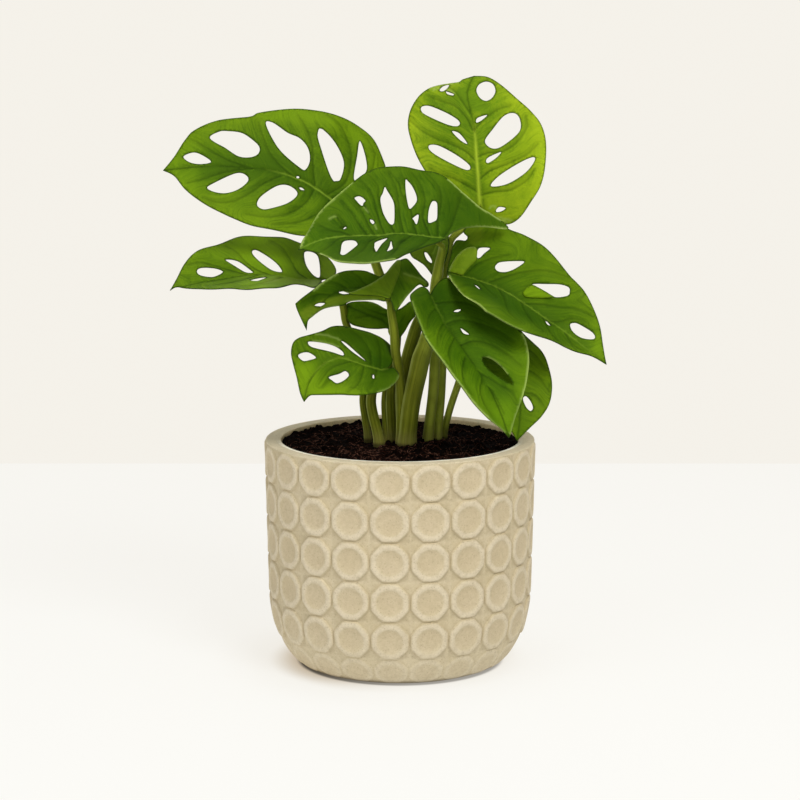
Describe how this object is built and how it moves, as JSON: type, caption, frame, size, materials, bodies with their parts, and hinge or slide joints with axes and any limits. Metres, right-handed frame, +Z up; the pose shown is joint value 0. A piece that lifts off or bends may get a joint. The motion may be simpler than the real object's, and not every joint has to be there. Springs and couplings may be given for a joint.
{
  "type": "monstera adansonii in a pot",
  "caption": "Small monstera adansonii with holed leaves on slender petioles, growing in a round cream planter with rows of raised rings.",
  "frame": {"origin": "centre of the pot's foot, on the surface it stands on", "axes": "+Z up; the front of the plant faces -Y; +X to the right as seen from the front"},
  "size_m": [0.2175, 0.1354, 0.291],
  "materials": {
    "ceramic": "matt cream stoneware, fine speckle",
    "potting_soil": "dark damp potting mix with fibres",
    "leaf": "satin fresh green leaf",
    "stem": "satin olive green petiole"
  },
  "bodies": {
    "root": {"pot": "ceramic", "soil": "potting_soil", "leaf_upper_left": "leaf", "petiole_upper_left": "stem", "leaf_upper_right": "leaf", "petiole_upper_right": "stem", "leaf_front": "leaf", "petiole_front": "stem", "leaf_left": "leaf", "petiole_left": "stem", "leaf_folded": "leaf", "petiole_folded": "stem", "leaf_shaded": "leaf", "petiole_shaded": "stem", "leaf_lower_left": "leaf", "petiole_lower_left": "stem", "leaf_front_right": "leaf", "petiole_front_right": "stem", "leaf_right": "leaf", "petiole_right": "stem", "leaf_behind_right": "leaf", "petiole_behind_right": "stem", "leaf_small_back": "leaf", "petiole_small_back": "stem"}
  },
  "joints": []
}
